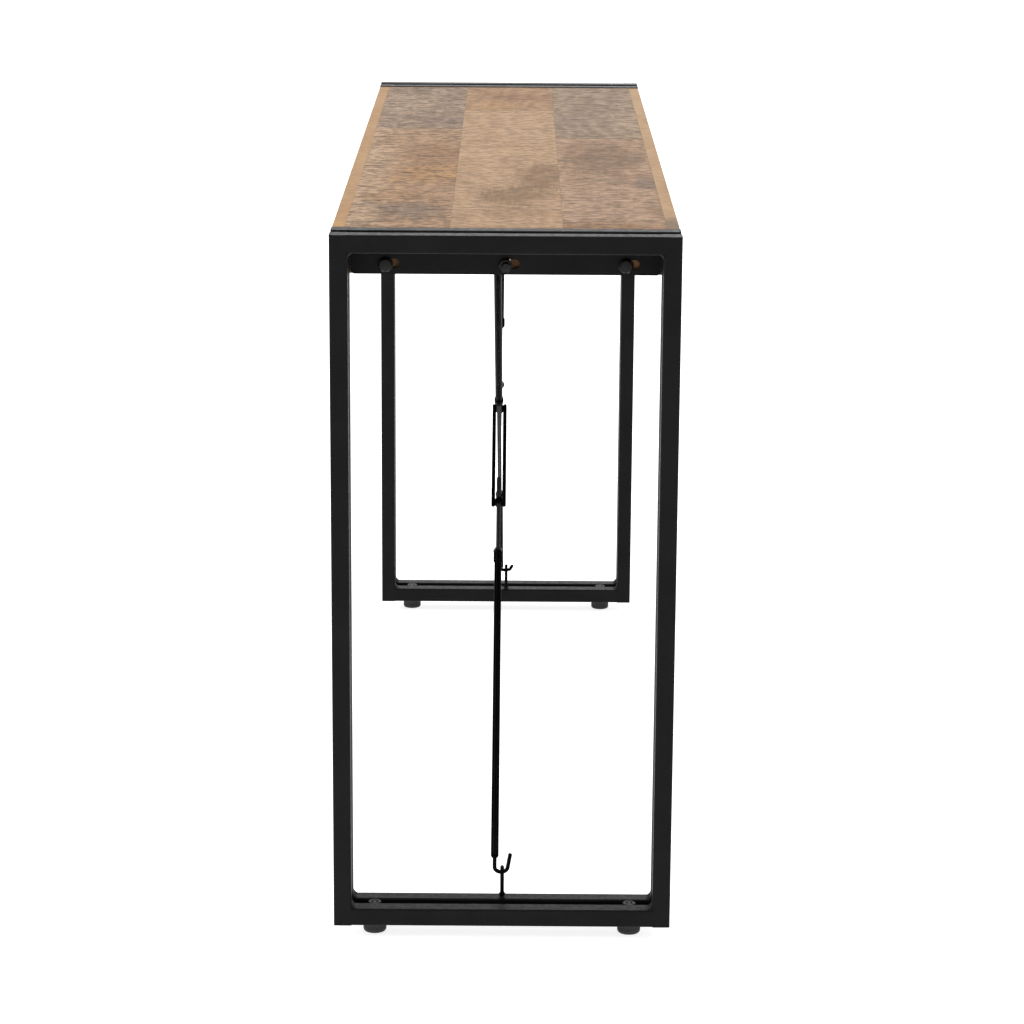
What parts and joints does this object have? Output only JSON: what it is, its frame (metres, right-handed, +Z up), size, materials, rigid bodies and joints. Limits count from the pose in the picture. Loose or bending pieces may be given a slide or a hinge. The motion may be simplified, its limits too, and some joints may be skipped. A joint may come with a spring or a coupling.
{
  "type": "console table",
  "caption": "Narrow console table: planked wooden top between two welded twin-ring steel end frames, tied by crossed rods with a turnbuckle, on levelling feet.",
  "frame": {"origin": "on the floor under the middle of the table", "axes": "+Z up, Y along the table, X across it; the near end is at -Y"},
  "size_m": [0.36, 1.32, 0.762],
  "materials": {
    "frame_coat": "matte black powder coat with a fine grain",
    "rod_coat": "satin black lacquer on round steel",
    "dark_thread": "blackened threaded steel",
    "dark_fastener": "black oxide",
    "zinc_screw": "zinc plated",
    "plank_wood": "waxed, saw-marked mango wood",
    "edge_wood": "waxed light mango wood",
    "batten_wood": "unfinished mango wood",
    "foot_plastic": "black nylon"
  },
  "bodies": {
    "table": {"batten_screws": "zinc_screw", "bottom_rail_staples": "rod_coat", "brace_b_lower_hook": "rod_coat", "brace_b_lower_tube": "rod_coat", "brace_b_rod": "dark_thread", "brace_b_upper_hook": "rod_coat", "brace_b_upper_tube": "rod_coat", "brace_eye_bolts": "dark_fastener", "far_batten": "batten_wood", "far_cleat": "batten_wood", "far_groove_webs": "frame_coat", "far_inner_bottom_rail": "frame_coat", "far_inner_left_leg": "frame_coat", "far_inner_right_leg": "frame_coat", "far_inner_top_rail": "frame_coat", "far_mounting_plate": "frame_coat", "far_outer_bottom_rail": "frame_coat", "far_outer_left_leg": "frame_coat", "far_outer_right_leg": "frame_coat", "far_outer_top_rail": "frame_coat", "frame_weld_beads": "frame_coat", "left_edge_board": "edge_wood", "left_plank_far": "plank_wood", "left_plank_near": "plank_wood", "m8_nuts": "dark_fastener", "middle_plank_far": "plank_wood", "middle_plank_near": "plank_wood", "near_batten": "batten_wood", "near_cleat": "batten_wood", "near_groove_webs": "frame_coat", "near_inner_bottom_rail": "frame_coat", "near_inner_left_leg": "frame_coat", "near_inner_right_leg": "frame_coat", "near_inner_top_rail": "frame_coat", "near_mounting_plate": "frame_coat", "near_outer_bottom_rail": "frame_coat", "near_outer_left_leg": "frame_coat", "near_outer_right_leg": "frame_coat", "near_outer_top_rail": "frame_coat", "right_edge_board": "edge_wood", "right_plank_far": "plank_wood", "right_plank_near": "plank_wood", "top_lag_bolts": "dark_fastener"},
    "lower_rod": {"brace_a_lower_hook": "rod_coat", "brace_a_lower_tube": "rod_coat", "brace_a_lower_nut": "dark_fastener", "brace_a_lower_stud": "dark_thread"},
    "upper_rod": {"brace_a_upper_hook": "rod_coat", "brace_a_upper_tube": "rod_coat", "brace_a_upper_nut": "dark_fastener", "brace_a_upper_stud": "dark_thread"},
    "turnbuckle": {"turnbuckle": "rod_coat"},
    "near_left_pad": {"near_left_foot_pad": "foot_plastic"},
    "near_left_stem": {"near_left_foot_stem": "dark_thread"},
    "near_right_pad": {"near_right_foot_pad": "foot_plastic"},
    "near_right_stem": {"near_right_foot_stem": "dark_thread"},
    "far_left_pad": {"far_left_foot_pad": "foot_plastic"},
    "far_left_stem": {"far_left_foot_stem": "dark_thread"},
    "far_right_pad": {"far_right_foot_pad": "foot_plastic"},
    "far_right_stem": {"far_right_foot_stem": "dark_thread"}
  },
  "joints": [
    {"name": "lower_rod_draw", "type": "slide", "parent": "table", "child": "lower_rod", "axis": [0, 0.8777, 0.4792], "range_m": [-0.0000971, 0.0000971]},
    {"name": "upper_rod_draw", "type": "slide", "parent": "table", "child": "upper_rod", "axis": [0, -0.8777, -0.4792], "range_m": [-0.0000981, 0.0000981]},
    {"name": "turnbuckle_turn", "type": "hinge", "parent": "table", "child": "turnbuckle", "pos_m": [-0.00825, -0.02467, 0.3841], "axis": [0, 0.8777, 0.4792], "range_deg": [-35, 35]},
    {"name": "near_left_foot_height", "type": "slide", "parent": "table", "child": "near_left_pad", "axis": [0, 0, -1], "range_m": [0, 0.006]},
    {"name": "near_left_foot_turn", "type": "hinge", "parent": "near_left_pad", "child": "near_left_stem", "pos_m": [-0.137, -0.6345, 0.02], "axis": [0, 0, -1], "range_deg": [0, 1729.73]},
    {"name": "near_right_foot_height", "type": "slide", "parent": "table", "child": "near_right_pad", "axis": [0, 0, -1], "range_m": [0, 0.006]},
    {"name": "near_right_foot_turn", "type": "hinge", "parent": "near_right_pad", "child": "near_right_stem", "pos_m": [0.137, -0.6345, 0.02], "axis": [0, 0, -1], "range_deg": [0, 1729.73]},
    {"name": "far_left_foot_height", "type": "slide", "parent": "table", "child": "far_left_pad", "axis": [0, 0, -1], "range_m": [0, 0.006]},
    {"name": "far_left_foot_turn", "type": "hinge", "parent": "far_left_pad", "child": "far_left_stem", "pos_m": [-0.137, 0.6345, 0.02], "axis": [0, 0, -1], "range_deg": [0, 1729.73]},
    {"name": "far_right_foot_height", "type": "slide", "parent": "table", "child": "far_right_pad", "axis": [0, 0, -1], "range_m": [0, 0.006]},
    {"name": "far_right_foot_turn", "type": "hinge", "parent": "far_right_pad", "child": "far_right_stem", "pos_m": [0.137, 0.6345, 0.02], "axis": [0, 0, -1], "range_deg": [0, 1729.73]}
  ],
  "couplings": [
    {"joint": "upper_rod_draw", "follows": "lower_rod_draw", "ratio": 1},
    {"joint": "turnbuckle_turn", "follows": "lower_rod_draw", "rad_per_m": 6283.2},
    {"joint": "near_left_foot_turn", "follows": "near_left_foot_height", "rad_per_m": 5026.5},
    {"joint": "near_right_foot_turn", "follows": "near_right_foot_height", "rad_per_m": 5026.5},
    {"joint": "far_left_foot_turn", "follows": "far_left_foot_height", "rad_per_m": 5026.5},
    {"joint": "far_right_foot_turn", "follows": "far_right_foot_height", "rad_per_m": 5026.5}
  ]
}
